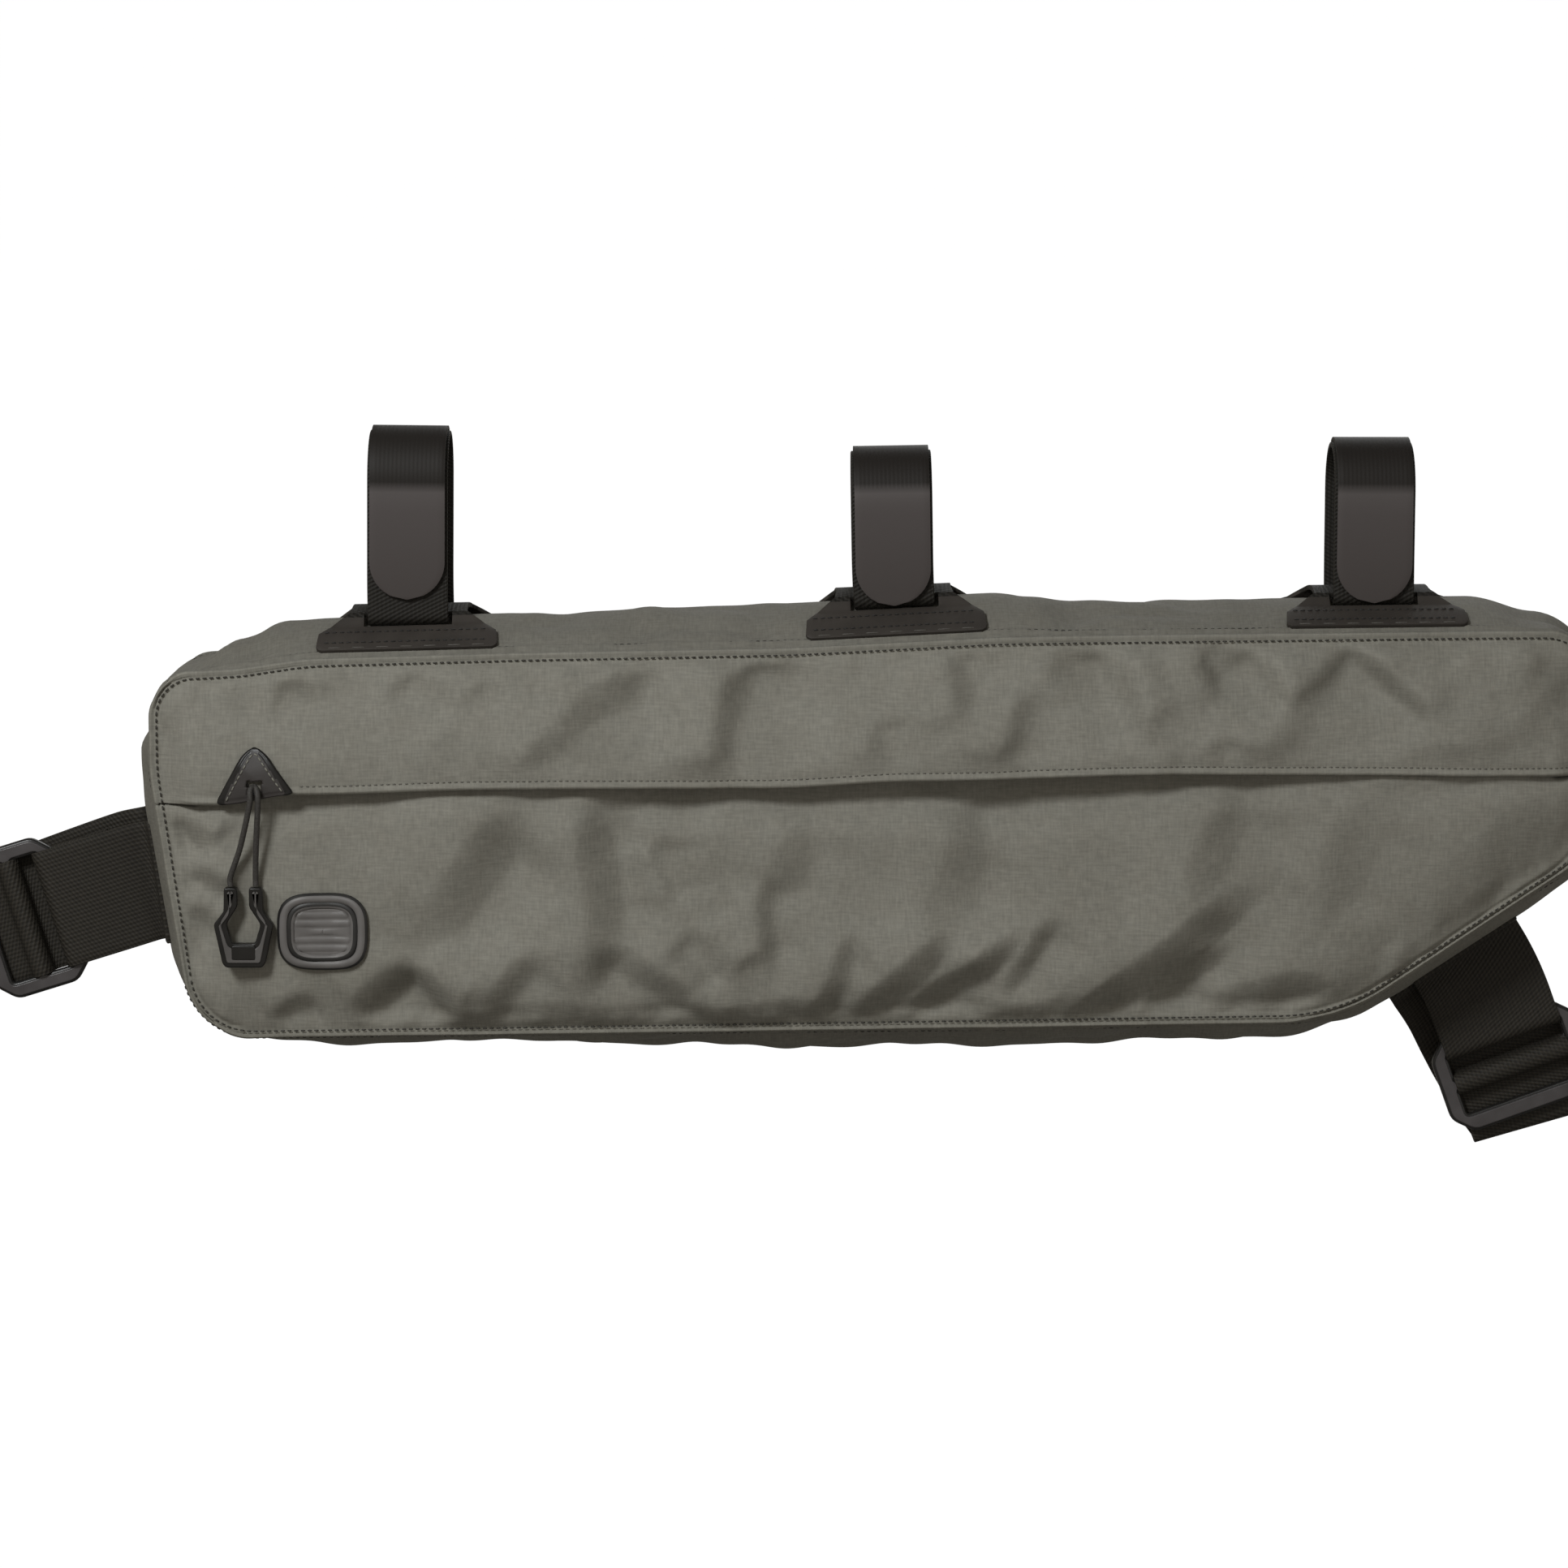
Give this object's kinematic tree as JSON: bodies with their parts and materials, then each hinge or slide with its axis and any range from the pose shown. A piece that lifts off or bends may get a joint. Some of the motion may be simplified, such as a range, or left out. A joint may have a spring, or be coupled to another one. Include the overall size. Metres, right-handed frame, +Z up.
{
  "type": "bicycle frame bag",
  "caption": "Long soft bag with a covered zip across its front, webbing loops along its top for a frame tube, and a webbing strap with a slider buckle at each end.",
  "frame": {"origin": "the middle of the centre webbing loop, on the axis of the frame tube that the bag hangs from", "axes": "+X along the bag to the right as seen from its front panel, +Y away from the front panel, +Z up"},
  "size_m": [0.5289, 0.0779, 0.229],
  "materials": {
    "ripstop_cloth": "olive grey ripstop nylon",
    "webbing": "black ribbed webbing",
    "coated_cloth": "brown grey coated cloth with a satin face",
    "zip_tape": "black coated zip tape",
    "zip_metal": "dark plated slider",
    "cord": "thin braided cord",
    "moulded_plastic": "matt moulded black plastic",
    "rubber_patch": "dark grey moulded rubber"
  },
  "bodies": {
    "root": {"front_panel_upper": "ripstop_cloth", "front_panel_lower": "ripstop_cloth", "back_panel": "ripstop_cloth", "gusset": "ripstop_cloth", "zip_garage": "coated_cloth", "zip": "zip_tape", "zip_slider": "zip_metal", "puller_cord": "cord", "zip_pull": "moulded_plastic", "left_buckle": "moulded_plastic", "right_buckle": "moulded_plastic", "badge": "rubber_patch", "strap_plate_1": "coated_cloth", "strap_loop_1": "webbing", "strap_tab_1": "coated_cloth", "strap_plate_2": "coated_cloth", "strap_loop_2": "webbing", "strap_tab_2": "coated_cloth", "strap_plate_3": "coated_cloth", "strap_loop_3": "webbing", "strap_tab_3": "coated_cloth", "left_anchor": "webbing", "left_webbing": "webbing", "right_anchor": "webbing", "right_webbing": "webbing"}
  },
  "joints": []
}
